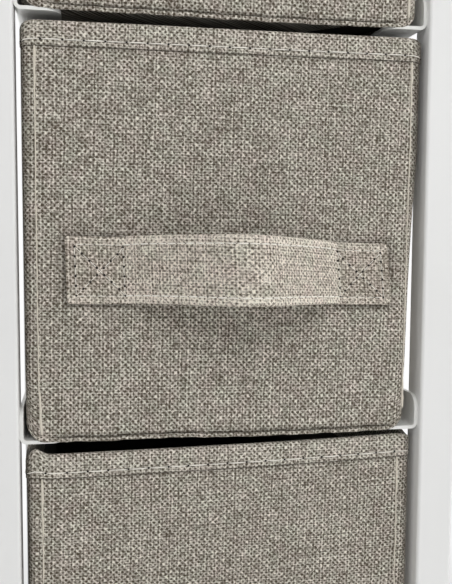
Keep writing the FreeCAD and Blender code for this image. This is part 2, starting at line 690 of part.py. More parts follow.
frame_posts()
side_rails()
cross_bars()
top_board()
foot_caps()
runners()
frame_bolts()
runner_rivets()
top_screws()
for level, name in enumerate(LEVELS):
    drawer(level, name)

doc.recompute()
for thing in doc.Objects:
    if "Invalid" in thing.State or "Error" in thing.State:
        raise RuntimeError(f"{thing.Name} failed to build: {thing.State}")
os.makedirs("parts", exist_ok=True)
for node in nodes:
    if node.Shape.isNull() or not node.Shape.isValid():
        raise RuntimeError(f"{node.Label} has no valid shape")
for node in nodes:
    node.Shape.exportStep(f"parts/{node.Label}.step")
print(f"{len(nodes)} sub-parts written")
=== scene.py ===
# %% [markdown]
# # Fabric drawer dresser
# A tall, narrow dresser: a white powder-coated steel frame that carries four soft drawers of
# linen-look cloth, each with a sewn strap handle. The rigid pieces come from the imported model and
# keep their shape. What is left for Blender is the cloth and every surface finish.

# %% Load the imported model
import math
import random

import bpy
import numpy as np
from mathutils import Matrix, Vector


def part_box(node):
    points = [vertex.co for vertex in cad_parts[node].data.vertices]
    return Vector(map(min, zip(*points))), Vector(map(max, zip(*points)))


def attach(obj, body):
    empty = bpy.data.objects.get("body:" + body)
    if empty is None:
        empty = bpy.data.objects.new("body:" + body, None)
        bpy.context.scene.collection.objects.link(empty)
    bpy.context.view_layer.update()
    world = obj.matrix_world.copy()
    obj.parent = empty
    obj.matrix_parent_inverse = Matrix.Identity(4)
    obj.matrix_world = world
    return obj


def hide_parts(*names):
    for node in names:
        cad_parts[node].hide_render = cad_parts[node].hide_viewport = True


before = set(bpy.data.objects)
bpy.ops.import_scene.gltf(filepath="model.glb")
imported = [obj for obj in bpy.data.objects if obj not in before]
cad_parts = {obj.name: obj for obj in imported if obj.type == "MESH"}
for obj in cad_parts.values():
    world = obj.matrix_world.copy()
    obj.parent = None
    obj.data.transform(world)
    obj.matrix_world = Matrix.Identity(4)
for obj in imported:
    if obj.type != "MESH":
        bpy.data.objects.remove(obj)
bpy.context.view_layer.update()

MM = 0.001
LEVELS = ("bottom", "lower", "upper", "top")
print("pieces in the packed model:", len(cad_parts))

# %% [markdown]
# ## The view
# The picture was taken close to the two middle drawers, a little above the handle and from the left.
# The place, the turn and the lens were found by lining up corners of the frame. Blender's lens is a
# length on a 36 mm sensor along the longer side.

# %% Camera
IMAGE_HEIGHT = 584
FOCAL_PIXELS = 803
SENSOR = 36
CAMERA_PLACE = Vector((-67.5, -505.8, 540.2)) * MM
YAW, PITCH, ROLL = (math.radians(angle) for angle in (10.30, -4.52, 0.30))


def new_object(name, data):
    """An object for a mesh, camera or lamp, put into the scene."""
    thing = bpy.data.objects.new(name, data)
    bpy.context.scene.collection.objects.link(thing)
    return thing


forward = Vector((math.sin(YAW) * math.cos(PITCH), math.cos(YAW) * math.cos(PITCH), math.sin(PITCH)))
level_right = Vector((math.cos(YAW), -math.sin(YAW), 0))
level_up = level_right.cross(forward)
right = level_right * math.cos(ROLL) + level_up * math.sin(ROLL)
up = level_up * math.cos(ROLL) - level_right * math.sin(ROLL)

camera = new_object("camera", bpy.data.cameras.new("camera"))
bpy.context.scene.camera = camera
camera.data.sensor_width = SENSOR
camera.data.lens = FOCAL_PIXELS / IMAGE_HEIGHT * SENSOR
turn = Matrix((right, up, -forward)).transposed().to_4x4()
camera.matrix_world = Matrix.Translation(CAMERA_PLACE) @ turn
print("lens", round(camera.data.lens, 2), "mm")

# %% [markdown]
# ## Colours and nodes
# Colours are written as sRGB hex, the way a picture editor shows them, and Blender's shaders work in
# linear light, so one function converts them. Another adds a shader node: its settings are keywords,
# and each input is either a value or the output that it is linked to.

# %% Helpers for materials
MIX_A, MIX_B, MIX_RESULT = 6, 7, 2    # the Mix node's colour inputs and output, among its other kinds


def linear(hex_colour):
    """An sRGB hex colour as linear RGBA."""
    channels = [int(hex_colour[i:i + 2], 16) / 255 for i in (0, 2, 4)]
    return [c / 12.92 if c <= 0.04045 else ((c + 0.055) / 1.055) ** 2.4 for c in channels] + [1]


def set_inputs(tree, node, inputs):
    """Each named input of a node takes a value, or a link from an output."""
    for name, value in dict(inputs).items():
        if isinstance(value, bpy.types.NodeSocket):
            tree.links.new(value, node.inputs[name])
        else:
            node.inputs[name].default_value = value


def add_node(tree, kind, inputs=(), **settings):
    """A new shader node of a kind, such as TexNoise, with its settings and inputs."""
    node = tree.nodes.new("ShaderNode" + kind)
    for name, value in settings.items():
        setattr(node, name, value)
    set_inputs(tree, node, inputs)
    return node


def blend(tree, share, first, second, **settings):
    """A colour between two colours, each an output or sRGB hex."""
    first, second = (linear(c) if isinstance(c, str) else c for c in (first, second))
    inputs = {0: share, MIX_A: first, MIX_B: second}
    return add_node(tree, "Mix", inputs, data_type="RGBA", **settings).outputs[MIX_RESULT]


def relief(tree, height, strength, depth):
    """A bump from a height pattern, whose depth is in metres."""
    inputs = {"Height": height, "Strength": strength, "Distance": depth}
    return add_node(tree, "Bump", inputs).outputs["Normal"]


def on_object(tree, kind, size, **inputs):
    """A pattern laid over the object, with cells of a size in metres."""
    place = add_node(tree, "TexCoord").outputs["Object"]
    return add_node(tree, kind, {"Vector": place, "Scale": 1 / size, **inputs}).outputs


def new_material(name):
    """An empty node material with its surface shader, as (material, tree, shader)."""
    material = bpy.data.materials.new(name)
    material.use_nodes = True
    tree = material.node_tree
    return material, tree, tree.nodes["Principled BSDF"]


print("helpers ready: white is", linear("FFFFFF"))

# %% [markdown]
# ## White powder coat
# The steel is sprayed with dry powder and baked, which leaves a satin skin with a very faint
# orange-peel ripple, and the tone drifts a little over a hand's width. Noise gives both: one at the
# ripple's size for the bump, one much larger for the tone.

# %% Powder-coated steel
RIPPLE = 1.6 * MM
RIPPLE_DEPTH = 0.05 * MM
RIPPLE_STRENGTH = 0.12
TONE_DRIFT = 60 * MM


def powder_coat(name, pale, deep, roughness):
    """Baked powder paint: satin, slightly rippled, never quite even in tone."""
    material, tree, shader = new_material(name)
    drift = on_object(tree, "TexNoise", TONE_DRIFT, Detail=3)["Fac"]
    ripple = on_object(tree, "TexNoise", RIPPLE, Detail=2)["Fac"]
    set_inputs(tree, shader, {"Base Color": blend(tree, drift, pale, deep), "Roughness": roughness,
                              "Normal": relief(tree, ripple, RIPPLE_STRENGTH, RIPPLE_DEPTH)})
    return material


frame_paint = powder_coat("white_powder_coat", "E7E7E6", "E0E0DF", 0.42)
runner_paint = powder_coat("white_runner_powder_coat", "E6E6E3", "DEDEDA", 0.46)
print("powder coats:", frame_paint.name, runner_paint.name)

# %% [markdown]
# ## Melamine, moulded plastic and zinc
# The top board is chipboard in white melamine, pressed against a finely pearled plate. The foot caps
# are moulded polypropylene with an eroded, slightly grainy skin. Bolts, plugs and screws are zinc
# plated: a bright metal whose roughness changes from patch to patch where the crystals differ.

# %% Top board, foot caps and fasteners
PEARL = 0.9 * MM
GRAIN = 0.7 * MM
GRAIN_DEPTH = 0.1 * MM
CRYSTAL = 1.2 * MM
ZINC_SMOOTHEST, ZINC_ROUGHEST = 0.28, 0.46


def grained_skin(name, pale, deep, grain, roughness, strength):
    """A pressed or moulded plastic skin: one colour, with a fine even grain that breaks the shine."""
    material, tree, shader = new_material(name)
    pits = on_object(tree, "TexVoronoi", grain)["Distance"]
    drift = on_object(tree, "TexNoise", TONE_DRIFT, Detail=4)["Fac"]
    set_inputs(tree, shader, {"Base Color": blend(tree, drift, pale, deep), "Roughness": roughness,
                              "Normal": relief(tree, pits, strength, GRAIN_DEPTH)})
    return material


def zinc_plate(name):
    """Zinc-plated steel: cool bright metal, with crystals that shine a little more or less."""
    material, tree, shader = new_material(name)
    crystals = on_object(tree, "TexVoronoi", CRYSTAL)["Color"]
    inputs = {"Value": crystals, "To Min": ZINC_SMOOTHEST, "To Max": ZINC_ROUGHEST}
    shine = add_node(tree, "MapRange", inputs).outputs["Result"]
    set_inputs(tree, shader, {"Base Color": blend(tree, crystals, "C9CCCE", "B4B8BC"), "Metallic": 1,
                              "Roughness": shine})
    return material


top_melamine = grained_skin("white_melamine_board", "F1F1EF", "EBEBE8", PEARL, 0.38, 0.12)
foot_plastic = grained_skin("moulded_polypropylene", "D4D4D0", "C9C9C4", GRAIN, 0.55, 0.3)
zinc_steel = zinc_plate("zinc_plated_steel")
print("hard finishes:", top_melamine.name, foot_plastic.name, zinc_steel.name)

# %% [markdown]
# ## Finishes on the rigid pieces
# The steel, the board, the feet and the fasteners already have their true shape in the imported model,
# so they only take a finish. A word in each piece's name says which one.

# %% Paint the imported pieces
FINISH_BY_WORD = {  # where two words fit, as in top_board_screws, the later one holds
    "post": frame_paint, "rail": frame_paint, "cross_bar": frame_paint, "runner": runner_paint,
    "top_board": top_melamine, "foot_caps": foot_plastic, "plugs": zinc_steel, "bolts": zinc_steel,
    "screws": zinc_steel,
}


def give_finish(piece, material):
    """Every slot of the piece takes the one material."""
    for slot in piece.material_slots:
        slot.material = material


for name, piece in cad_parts.items():
    for word, material in FINISH_BY_WORD.items():
        if word in name:
            give_finish(piece, material)
print("finished rigid pieces:", sum(any(w in n for w in FINISH_BY_WORD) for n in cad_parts))

# %% [markdown]
# ## Linen-look cloth
# The cloth is a plain weave of pale, uneven weft over a dark warp. Where the warp comes up it shows as
# a dark olive dot, and the dots lie like the black fields of a chessboard in a pale, wavering net.
# An image would repeat, so the weave is drawn by nodes: two sines, one for each set of threads,
# multiply to the chessboard, and noise stretched along the threads makes them thick and thin. The yarn
# is spun from mixed fibres, so its tint drifts between warm and cool. The threads are laid out in a UV
# map in metres, so that they keep their size on every panel.

# %% Woven cloth
WARP_PITCH = 1.28 * MM
WEFT_PITCH = 1.21 * MM
RIB_PITCH = 1.8 * MM
BAND_PITCH = 2.1 * MM
SWAY_SIZE = 9 * MM
SWAY_REACH = 1.2 * MM
FIBRE_SIZE = 0.55 * MM
SLUB_ACROSS = 1.1 * MM
SLUB_ALONG = 16 * MM
PATCH_SIZE = 22 * MM
TINT_SIZE = 9 * MM
THREAD_HEIGHT = 0.25 * MM
THREAD_STRENGTH = 0.4
TONE_CURVE = 1.8
# Paler tone where the weave is stretched; on the strap's turned edges it is also a painted highlight
STRETCH_AND_HIGHLIGHT_TONE = 0.16
LEAN_SHARE = 0.11
# Dark tone of painted shade, laid where the cloth lies in a crease, a groove or a step
PAINTED_SHADE_TONE = "2E2820"
WARM_TINT, COOL_TINT = "FFF8FB", "F8FFFB"
FIBRE_MIRROR = 0.12
CLOTH_ROUGHNESS = 0.9
CHECK_WEIGHT = 0.1
TONE_WEIGHTS = {"warp": -0.18, "weft": -0.23, "rib": 0.21, "band": 0.09, "crossing": 0.22, "fibre": 0.47,
                "warp_slub": 0.36, "weft_slub": 0.4, "patch": 0.1}


def woven_cloth(name, warp, weft, paleness, dots):
    """Two-tone plain weave. paleness is the share of pale weft, dots how strongly the warp shows."""
    material, tree, shader = new_material(name)
    laid = add_node(tree, "UVMap", uv_map="weave").outputs["UV"]
    sway = add_node(tree, "TexNoise", {"Vector": laid, "Scale": 1 / SWAY_SIZE, "Detail": 4})
    swayed = add_node(tree, "VectorMath", {0: sway.outputs["Color"], 1: [SWAY_REACH] * 3, 2: laid},
                      operation="MULTIPLY_ADD").outputs["Vector"]
    place = add_node(tree, "SeparateXYZ", {0: swayed})

    def calculate(operation, *values):
        """The result of one Math node."""
        return add_node(tree, "Math", dict(enumerate(values)), operation=operation).outputs[0]

    def threads(axis, pitch, wave="SINE"):
        """A wave that is zero between two threads and highest or lowest in the middle of one."""
        return calculate(wave, calculate("MULTIPLY", place.outputs[axis], math.pi / pitch))

    def scaled(along, across):
        """Noise coordinates in units of two lengths."""
        inputs = {0: swayed, 1: (1 / along, 1 / across, 1)}
        return add_node(tree, "VectorMath", inputs, operation="MULTIPLY").outputs["Vector"]

    def each_cell(along, across):
        """A random value for each cell of a grid."""
        cell = add_node(tree, "VectorMath", {0: scaled(along, across)}, operation="FLOOR")
        inputs = {"Vector": cell.outputs["Vector"]}
        return add_node(tree, "TexWhiteNoise", inputs, noise_dimensions="2D").outputs["Value"]

    def cloudy(along, across, detail):
        """Smooth noise with cells of the given size."""
        inputs = {"Vector": scaled(along, across), "Scale": 1, "Detail": detail}
        return add_node(tree, "TexNoise", inputs, noise_dimensions="2D").outputs["Fac"]

    warp_wave, weft_wave = threads("X", WARP_PITCH), threads("Y", WEFT_PITCH)
    rib_wave, band_wave = threads("X", RIB_PITCH), threads("Y", BAND_PITCH)
    lean = calculate("MULTIPLY", threads("X", WARP_PITCH, "COSINE"), threads("Y", WEFT_PITCH, "COSINE"))
    rise = calculate("MULTIPLY_ADD", lean, -LEAN_SHARE, calculate("MULTIPLY", warp_wave, weft_wave))
    waves = {"warp": warp_wave, "weft": weft_wave, "rib": rib_wave, "band": band_wave}
    uneven = {word: calculate("MULTIPLY", wave, wave) for word, wave in waves.items()}
    uneven["crossing"] = each_cell(WARP_PITCH, WEFT_PITCH)
    uneven["fibre"] = each_cell(FIBRE_SIZE, FIBRE_SIZE)
    uneven["warp_slub"] = cloudy(SLUB_ACROSS, SLUB_ALONG, 2)
    uneven["weft_slub"] = cloudy(SLUB_ALONG, SLUB_ACROSS, 2)
    uneven["patch"] = cloudy(PATCH_SIZE, PATCH_SIZE, 3)
    middle = sum(TONE_WEIGHTS.values()) / 2
    tone = calculate("MULTIPLY_ADD", rise, -dots, paleness - middle)
    tone = calculate("MULTIPLY_ADD", calculate("MULTIPLY", rib_wave, band_wave), CHECK_WEIGHT, tone)
    for word, weight in TONE_WEIGHTS.items():
        tone = calculate("MULTIPLY_ADD", uneven[word], weight, tone)
    # Paler where stretched, and on the strap's edges a painted highlight
    stretch_and_highlight = add_node(tree, "Attribute", attribute_name="stretch_and_highlight").outputs["Fac"]
    tone = calculate("MULTIPLY_ADD", stretch_and_highlight, STRETCH_AND_HIGHLIGHT_TONE, tone)
    tone = add_node(tree, "Clamp", {"Value": tone}).outputs[0]
    pale = calculate("POWER", tone, TONE_CURVE)
    tint = blend(tree, cloudy(TINT_SIZE, TINT_SIZE, 1), WARM_TINT, COOL_TINT)
    tinted = blend(tree, 1, blend(tree, pale, warp, weft), tint, blend_type="MULTIPLY")
    # Painted shade: this mark darkens the cloth in creases, grooves, steps and along the front edges
    painted_shade = add_node(tree, "Attribute", attribute_name="painted_shade").outputs["Fac"]
    set_inputs(tree, shader, {
        "Base Color": blend(tree, painted_shade, tinted, PAINTED_SHADE_TONE), "Roughness": CLOTH_ROUGHNESS,
        "Specular IOR Level": FIBRE_MIRROR, "Normal": relief(tree, tone, THREAD_STRENGTH, THREAD_HEIGHT)})
    return material


drawer_cloth = woven_cloth("linen_look_weave", "4B4236", "E6E0D4", 0.502, 0.315)
strap_cloth = woven_cloth("linen_look_strap_weave", "534A3E", "ECE3D6", 0.538, 0.235)
print("cloths:", drawer_cloth.name, strap_cloth.name)

# %% [markdown]
# ## Lining, thread and seam edge
# Inside, the drawer is lined with grey spun-bonded fleece, which is pressed with a lattice of small
# bond points. The sewing thread is pale polyester, twisted, so it shines more than the cloth. Each
# needle hole is cloth pulled down into shadow, and a folded seam edge shows mostly pale weft.

# %% Fleece, thread and needle hole
BOND_PITCH = 1.8 * MM
BOND_DEPTH = 0.2 * MM
BOND_STRENGTH = 0.5
BOND_UNEVEN = 0.25
FLEECE_FIBRE = 3 * MM
FLEECE_ROUGHNESS = 0.95
TWIST = 0.5 * MM
TWIST_WOBBLE = 1.5


def bonded_fleece(name, pale, deep):
    """Spun-bonded lining: matt felted fibre with a lattice of pressed points."""
    material, tree, shader = new_material(name)
    points = on_object(tree, "TexVoronoi", BOND_PITCH, Randomness=BOND_UNEVEN)["Distance"]
    fibre = on_object(tree, "TexNoise", FLEECE_FIBRE, Detail=6)["Fac"]
    set_inputs(tree, shader, {"Base Color": blend(tree, fibre, deep, pale), "Roughness": FLEECE_ROUGHNESS,
                              "Normal": relief(tree, points, BOND_STRENGTH, BOND_DEPTH)})
    return material


def spun_thread(name, pale, deep, roughness):
    """Twisted thread: fine slanting bands of tone that follow the plies."""
    material, tree, shader = new_material(name)
    plies = on_object(tree, "TexWave", 2 * TWIST, Distortion=TWIST_WOBBLE)["Fac"]
    plies.node.bands_direction = "DIAGONAL"
    set_inputs(tree, shader, {"Base Color": blend(tree, plies, deep, pale), "Roughness": roughness})
    return material


lining_fleece = bonded_fleece("spun_bonded_lining", "45423C", "35322D")
sewing_thread = spun_thread("polyester_sewing_thread", "FAF7F0", "E6E0D4", 0.6)
needle_hole = spun_thread("shadowed_needle_hole", "221D18", "14110E", 0.95)
seam_edge = spun_thread("folded_seam_edge", "E2DBCE", "BFB7A8", 0.85)
print("small soft finishes:", lining_fleece.name, sewing_thread.name, needle_hole.name, seam_edge.name)

# %% [markdown]
# ## The drawer as a sewn box
# A drawer is one length of cloth round four thin boards, turned in at the rim and bound at the foot.
# Its wall is drawn as columns round a box with soft corners and rows from the underside up, over the
# rim and down the lining. A subdivided cube would do for the shape, but rows let each fold, the
# hem's step, the groove above the bound edge and the rolled rim, sit at its true height.

# %% Size of a drawer and its columns
box_low, box_high = (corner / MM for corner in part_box("top_drawer_cover"))
HALF_WIDTH, FRONT, BACK, HEIGHT = box_high.x, box_low.y, box_high.y, box_high.z - box_low.z
UNDERSIDES = {level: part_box(f"{level}_drawer_cover")[0].z / MM for level in LEVELS}
CORNER = 5
FLAT_X = HALF_WIDTH - CORNER
CORNER_STEPS = 7
SIDE_STEPS, FRONT_STEPS, HALF_BACK_STEPS = 44, 116, 12


def straight(start, end, steps):
    """Columns along one panel, whose outward side is on the right of the way taken."""
    start, end = np.array(start, float), np.array(end, float)
    way = (end - start) / np.linalg.norm(end - start)
    return [(*(start + (end - start) * i / steps), way[1], -way[0]) for i in range(steps)]


def soft_corner(x, y, first_angle):
    """Columns round one upright edge, a quarter turn about a point."""
    angles = np.radians(first_angle + 90 * np.arange(CORNER_STEPS) / CORNER_STEPS)
    return [(x + CORNER * math.cos(a), y + CORNER * math.sin(a), math.cos(a), math.sin(a)) for a in angles]


def wall_columns():
    """Columns round the drawer from the middle of the back: x, y, outward x, outward y, distance."""
    columns = straight((0, BACK), (-FLAT_X, BACK), HALF_BACK_STEPS)
    columns += soft_corner(-FLAT_X, BACK - CORNER, 90)
    columns += straight((-HALF_WIDTH, BACK - CORNER), (-HALF_WIDTH, FRONT + CORNER), SIDE_STEPS)
    columns += soft_corner(-FLAT_X, FRONT + CORNER, 180)
    columns += straight((-FLAT_X, FRONT), (FLAT_X, FRONT), FRONT_STEPS)
    columns += soft_corner(FLAT_X, FRONT + CORNER, 270)
    columns += straight((HALF_WIDTH, FRONT + CORNER), (HALF_WIDTH, BACK - CORNER), SIDE_STEPS)
    columns += soft_corner(FLAT_X, BACK - CORNER, 0)
    columns += straight((FLAT_X, BACK), (0, BACK), HALF_BACK_STEPS)
    columns = np.array(columns + columns[:1])
    steps = np.linalg.norm(np.diff(columns[:, :2], axis=0), axis=1)
    return np.column_stack([columns, np.concatenate([[0], np.cumsum(steps)])])


COLUMNS = wall_columns()
GIRTH = COLUMNS[-1, 4]
print("drawer", 2 * HALF_WIDTH, "x", round(BACK - FRONT, 1), "x", HEIGHT, "mm, girth", round(GIRTH), "mm")

# %% [markdown]
# ## How each drawer has settled
# Cloth over thin board never stays a true box. In the picture the upper drawer's right side leans in
# towards the foot and its bound edge hangs a little, and the drawer below is pushed in further on the
# right. One function moves points of the true box to where the cloth has gone, and it is used for
# the wall, the seams, the stitches and the strap alike, so they stay together.

# %% Settling of the cloth
HABIT_TABLE = {  # mm on the bottom, lower, upper and top drawer
    "tuck_foot": (1.6, 0.0, 5.7, 2.4),  # right side leans in: at the foot,
    "tuck_mid": (0.9, 0.0, 2.1, 1.2),  # half way up,
    "tuck_rim": (0.2, 0.0, -5.2, 0.4),  # and at the rim
    "sag": (1.2, 2.0, 2.4, 1.8),  # bound edge hangs
    "pinch": (0.4, 0.0, 0.9, 0.3),  # and is drawn up in one place
    "recess": (2.0, 2.8, 0.0, 0.5),  # front pushed in on the right
    "rim_lift": (0.3, 2.4, 0.0, 0.0),  # rim rises to the right
    "rim_drop": (0.4, 1.2, 0.0, 0.8),  # rim lower all along
    "ear": (0.6, 3.0, 0.0, 0.0),  # left corner of the rim stands up
    "puff": (0.7, 0.6, 0.4, 0.9),  # sides swell above the foot
    "seam_left": (0.6, 2.0, 1.0, 0.3),  # front seams in from the edge,
    "seam_right": (0.4, 2.2, 0.0, 0.8),
    "seam_turn": (0.9, 0.9, -2.5, 0.9),  # and the right one further at the foot
    "post_shade_left": (0.4, 0.85, 0.65, 0.5),  # share of painted shade on the front edges, beside the posts
    "post_shade_right": (0.3, 0.3, 0.58, 0.4),
    "phase": (0.7, 2.9, 0.3, 1.9),  # radians: where the faint ripples begin
}
MIDDLE = (FRONT + BACK) / 2
SAG_PEAK_X = 15
SAG_SPAN = 135
PINCH_X = -27
PINCH_WIDTH = 24
WAVE = 0.22
SIDE_WAVES = (37, 29)
FRONT_WAVES = (23, 31)
BULGE = 0.6
FOOT_CORNER = 8.5
CORNER_DEPTH = 14
TUCK_REACH = 10
MOST_OUTWARD = 0.5
FULLNESS = 0.003
PUFF_REACH = 20
LEFT_PUFF = 0.5
PUFF_START, PUFF_FULL = 17, 34
RIM_DROOP = 2.5
RIM_DROOP_HEIGHT = 16
EAR_X = -88
EAR_WIDTH = 3.4


def by_level(table):
    """The columns of a table, as a set of named values for each drawer."""
    return {level: {word: row[i] for word, row in table.items()} for i, level in enumerate(LEVELS)}


def ease(share):
    """0 to 1 with soft ends."""
    share = np.clip(share, 0, 1)
    return share * share * (3 - 2 * share)


def settle(points, habit, hang=0):
    """Points of the true box, moved as the used cloth has gone. hang is the share of the foot's sag."""
    x, y, z = np.moveaxis(np.asarray(points, float), -1, 0)
    share = z / HEIGHT
    frontness = ease((MIDDLE - y) / (MIDDLE - FRONT))
    rightness = np.clip((x + HALF_WIDTH) / (2 * HALF_WIDTH), 0, 1)
    tuck = habit["tuck_foot"] * (1 - share) * (1 - 2 * share) + habit["tuck_rim"] * share * (2 * share - 1)
    tuck += 4 * habit["tuck_mid"] * share * (1 - share)
    tuck = np.maximum(tuck, -MOST_OUTWARD) * frontness * (x > 0)
    phase = habit["phase"]
    ripple_x = WAVE * np.sin(y / SIDE_WAVES[0] + phase) * np.sin(z / SIDE_WAVES[1] + 2 * phase)
    ripple_y = WAVE * np.sin(x / FRONT_WAVES[0] + phase) * np.sin(z / FRONT_WAVES[1] + 3 * phase)
    bulge = BULGE * np.cos(np.pi * x / (2 * HALF_WIDTH)) * np.sin(np.pi * np.clip(share, 0, 1)) * frontness
    sag = habit["sag"] * (1 - ((x - SAG_PEAK_X) / SAG_SPAN) ** 2)
    sag -= habit["pinch"] * np.exp(-((x - PINCH_X) / PINCH_WIDTH) ** 2)
    tucked = np.clip((x - HALF_WIDTH) / TUCK_REACH + 1, 0, 1) ** 2
    outward = np.abs(x - tuck * tucked) - HALF_WIDTH + tuck
    in_front = ease((FRONT + CORNER + CORNER_DEPTH - y) / CORNER_DEPTH)
    aside = np.clip(outward / FOOT_CORNER + 1, 0, 1) * in_front
    rounding = 1 - np.sqrt(1 - aside ** 2)
    corner_lift = FOOT_CORNER * rounding * np.clip(1 - z / (3 * FOOT_CORNER), 0, 1)
    near_rim = ease((z - HEIGHT) / RIM_DROOP_HEIGHT + 1)
    corner_droop = RIM_DROOP * rounding * near_rim
    puff = habit["puff"] * ease((z - PUFF_START) / (PUFF_FULL - PUFF_START))
    puff *= ease(outward / PUFF_REACH + 1) * np.where(x > 0, 1, LEFT_PUFF)
    ear = habit["ear"] * np.exp(-((x - EAR_X) / EAR_WIDTH) ** 2) * in_front * near_rim
    moved_x = x * (1 + FULLNESS) + np.sign(x) * puff - tuck * tucked + ripple_x
    moved_y = y + habit["recess"] * rightness ** 1.5 * frontness - bulge + ripple_y
    moved_z = z * (1 - habit["rim_drop"] / HEIGHT) + habit["rim_lift"] * rightness ** 2 * share * frontness
    moved_z += corner_lift - corner_droop + ear - sag * hang
    return np.stack([moved_x, moved_y, moved_z], -1)


HABITS = by_level(HABIT_TABLE)
print("settled drawers:", ", ".join(HABITS))

# %% [markdown]
# ## From rows of points to a sewn shell
# Every cloth piece here is a grid: loops of points that follow one another. This function makes the
# mesh, closes both ends and lays out the threads in the UV map. Marks on its points make the cloth
# darker there with painted shade, in creases, grooves and steps, or paler where the weave is stretched,
# which on the strap's edges is also a painted highlight.

# %% Shell builder
SHARP_ANGLE = math.radians(55)


def dress(mesh, materials, of_face):
    """Materials for a mesh, the number of each face's own one, and smooth shading."""
    for material in materials:
        mesh.materials.append(material)
    mesh.polygons.foreach_set("material_index", of_face)
    mesh.shade_smooth()


def sewn_shell(name, points, weave, marks, materials, row_material):
    """A closed mesh through loops of points in mm. weave has one more column, marks lie on the points."""
    rows, columns = points.shape[:2]
    index = np.arange(rows * columns).reshape(rows, columns)
    after = np.roll(index, -1, axis=1)
    quads = np.stack([index[:-1], after[:-1], after[1:], index[1:]], -1).reshape(-1, 4)
    faces = quads.tolist() + [index[0][::-1].tolist(), index[-1].tolist()]
    mesh = bpy.data.meshes.new(name)
    mesh.from_pydata((points.reshape(-1, 3) * MM).tolist(), [], faces)
    corners = np.stack([weave[:-1, :-1], weave[:-1, 1:], weave[1:, 1:], weave[1:, :-1]], 2).reshape(-1, 2)
    ends = np.concatenate([weave[0, :-1][::-1], weave[-1, :-1]])
    mesh.uv_layers.new(name="weave").uv.foreach_set("vector", np.concatenate([corners, ends]).ravel() * MM)
    for mark, values in marks.items():
        values = np.broadcast_to(values, (rows, columns)).ravel()
        mesh.attributes.new(mark, "FLOAT", "POINT").data.foreach_set("value", values)
    dress(mesh, materials, np.repeat(row_material, columns).tolist() + [row_material[0], row_material[-1]])
    mesh.set_sharp_from_angle(angle=SHARP_ANGLE)
    return new_object(name, mesh)


print("shells keep edges sharp from", round(math.degrees(SHARP_ANGLE)), "degrees")

# %% [markdown]
# ## Where the straps are sewn on
# The strap handles lie a little crooked, each in its own way. Their sewn ends draw the cloth of the front
# in, so their places have to be known before the front is made.

# %% Places of the straps
strap_low, strap_high = (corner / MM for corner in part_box("top_drawer_handle"))
STRAP_HALF = strap_high.x
STRAP_TALL = strap_high.z - strap_low.z
STRAP_RISE = (strap_low.z + strap_high.z) / 2 - box_low.z
STRAP_PROUD = FRONT - strap_low.y
STRAP_END = 27
FREE_HALF = STRAP_HALF - STRAP_END
HANG_TABLE = {  # mm on the bottom, lower, upper and top drawer
    "shift": (-0.8, 0.9, 2.1, 0.6),  # to the right
    "tilt": (0.6, -0.8, -2.7, 0.9),  # right end up
    "shear_left": (0.4, 0.5, 0.9, -0.6),  # upper corner out to the left, at each end
    "shear_right": (-0.5, 0.9, 3.0, 0.5),
    "taper": (0.2, 0.3, 0.6, -0.2),  # right end less tall
    "fold": (-1.5, 0.5, 0.7, 2.0),  # fold to the right
}
HANGS = by_level(HANG_TABLE)
PULL_REACH = 1.7
PULL_DEPTH = 0.7
PULL_SHADE = 0.4
PULL_FADE = 6


def strap_pull(level, x, height):
    """0 to 1 on the front: how near a point lies to the outline of the strap's sewn ends."""
    hang = HANGS[level]
    beside = np.abs(x - hang["shift"]) - STRAP_HALF
    level_off = STRAP_RISE + hang["tilt"] * (x - hang["shift"]) / (2 * STRAP_HALF)
    above = np.abs(height - level_off) - STRAP_TALL / 2
    apart = np.hypot(np.maximum(beside, 0), np.maximum(above, 0))
    return np.exp(-(apart / PULL_REACH) ** 2) * ease((beside + STRAP_END) / PULL_FADE + 0.5)


print("strap", 2 * STRAP_HALF, "x", STRAP_TALL, "mm,", round(STRAP_PROUD, 1), "mm proud")

# %% [markdown]
# ## Wall, hem and bound edge
# Going up from the underside, a row is a height and an inset from the true wall. The bound edge is a
# thin fold that hangs at the foot with a groove above it, darkened with painted shade. The hem is a second
# layer of cloth, so it stands proud and ends in a step with a painted shadow line, and the line where it
# is sewn pulls it in. Where the drawers run close to the posts, their front edges get painted shade.

# %% Rows of the wall
WALL_STEP = 3
GRAIN_TILT = 0.021
HANG_HEIGHT = 45
HEM_FOLD = HEIGHT - 11.0
HEM_SEAM = HEIGHT - 8.4
HEM_INSET = -0.4
HEM_STRETCH = 0.45
GROOVE_END = 10
GROOVE_FADE = 5
GROOVE_SHADE, GROOVE_VARIES = 0.8, 0.2
POST_SHADE_START, POST_SHADE_FULL = 0.3, 0.5
POST_SHADE_DEPTH = 12
POST_SHADE_FADE = 40
FRAY = 0.22
FRAY_STEP, FRAY_DRIFT = 2.3, 6.21
CUT_APART = 400
TURN_IN = HEIGHT - 26
LINING_INSET = 4.0
# Each row is its height, its inset, its share of the foot's sag and its share of painted shade, where it
# lies in a crease, groove or step.
FOOT_ROWS = [(0.5, 1.15, 0, 0), (0.5, 1.1, 1, 0.3), (0.0, 0.6, 1, 0.1), (0.3, 0.1, 1, 0),
             (1.0, -0.1, 1, 0), (1.8, 0.05, 1, 0.15), (2.1, 0.7, 1, 1), (2.45, 0.65, 0.95, 0.85),
             (3.0, 0.1, 0.9, 0.25)]
HEM_ROWS = [(HEM_FOLD - 0.7, 0, 0, 0.2), (HEM_FOLD - 0.2, 0.3, 0, 0.7), (HEM_FOLD, -0.15, 0, 0.35),
            (HEM_FOLD + 0.5, HEM_INSET, 0, 0), (HEM_SEAM - 0.8, HEM_INSET, 0, 0),
            (HEM_SEAM, HEM_INSET + 0.3, 0, 0.12), (HEM_SEAM + 0.8, HEM_INSET, 0, 0),
            (HEIGHT - 4, HEM_INSET, 0, 0), (HEIGHT - 1.6, HEM_INSET, 0, 0)]
